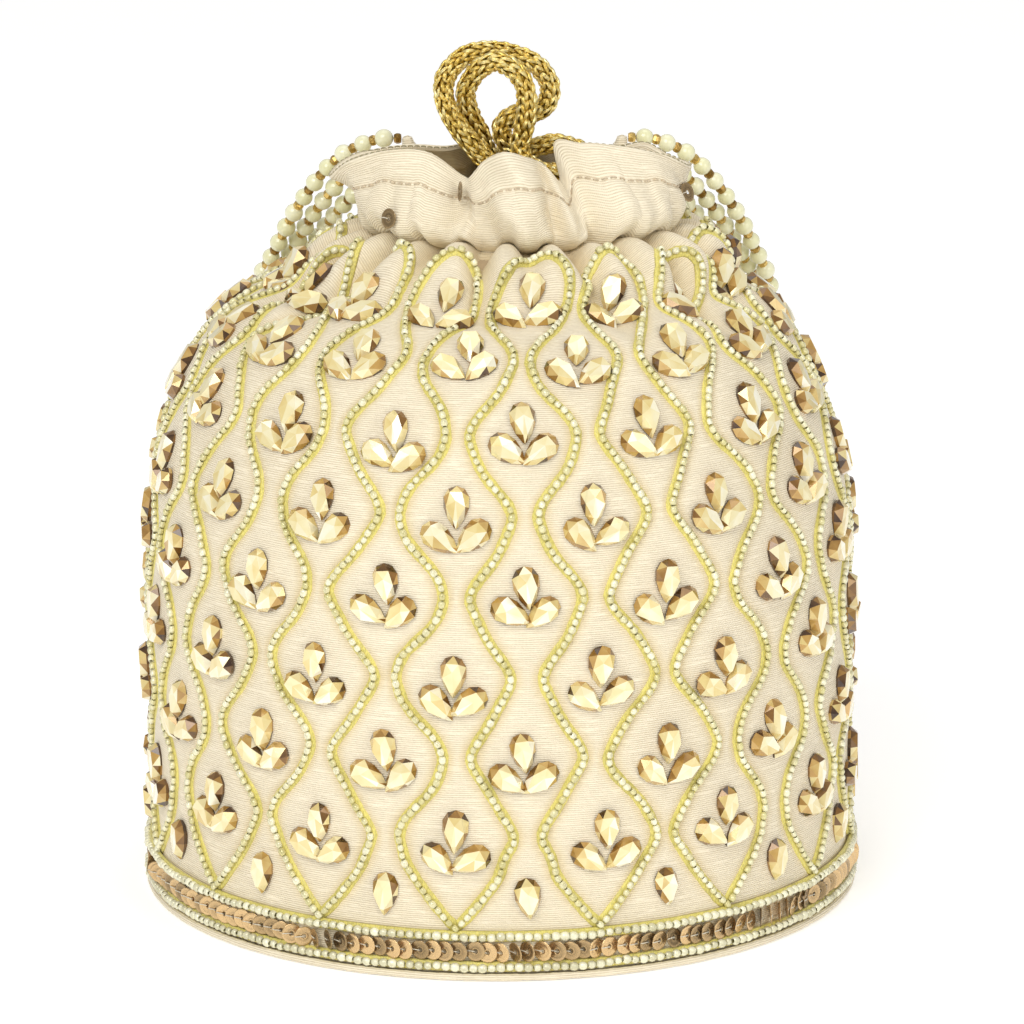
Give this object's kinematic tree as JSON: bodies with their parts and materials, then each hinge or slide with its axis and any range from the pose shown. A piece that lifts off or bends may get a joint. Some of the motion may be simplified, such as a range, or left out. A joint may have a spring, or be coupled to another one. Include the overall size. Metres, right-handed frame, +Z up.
{
  "type": "potli bag",
  "caption": "Round silk drawstring pouch, drawn shut, with a flat stiff base, bead and stone embroidery, a sequin rim, a knotted gold drawstring and a pearl string handle.",
  "frame": {"origin": "centre of the underside of the flat round base", "axes": "+Z up through the drawn neck, -Y towards the front, where the drawstring loop shows, and +X to the right seen from the front; the handle hangs on the +Y side"},
  "size_m": [0.1794, 0.1863, 0.2099],
  "materials": {
    "silk": "ivory raw silk with fine cross ribs and a soft sheen",
    "lining": "beige satin lining",
    "card": "plain stiff card",
    "piping": "beige corded edge",
    "beads": "pale gold foil-lined cut glass",
    "sequins": "copper metallised cup sequins",
    "gold": "knitted gold metallic yarn",
    "pearl": "cream pearl lustre"
  },
  "bodies": {
    "bag": {"base_panel": "silk", "base_board": "card", "base_piping": "piping", "silk_shell": "silk", "lining": "lining", "rim_bead_row_lower": "beads", "sequin_band": "sequins", "rim_bead_row_upper": "beads", "bead_trail_01": "beads", "bead_trail_02": "beads", "bead_trail_03": "beads", "bead_trail_04": "beads", "bead_trail_05": "beads", "bead_trail_06": "beads", "bead_trail_07": "beads", "bead_trail_08": "beads", "bead_trail_09": "beads", "bead_trail_10": "beads", "bead_trail_11": "beads", "bead_trail_12": "beads", "bead_trail_13": "beads", "bead_trail_14": "beads", "bead_trail_15": "beads", "bead_trail_16": "beads", "drawstring_outer": "gold", "drawstring_inner": "gold", "handle_tab_left": "silk", "handle_tab_right": "silk"},
    "handle": {"pearl_strand_1": "pearl", "pearl_strand_2": "pearl", "pearl_strand_3": "pearl"}
  },
  "joints": [
    {"name": "handle_swing", "type": "hinge", "parent": "bag", "child": "handle", "pos_m": [0.004, 0.027, 0.1765], "axis": [1, 0, 0], "range_deg": [0, 150]}
  ]
}
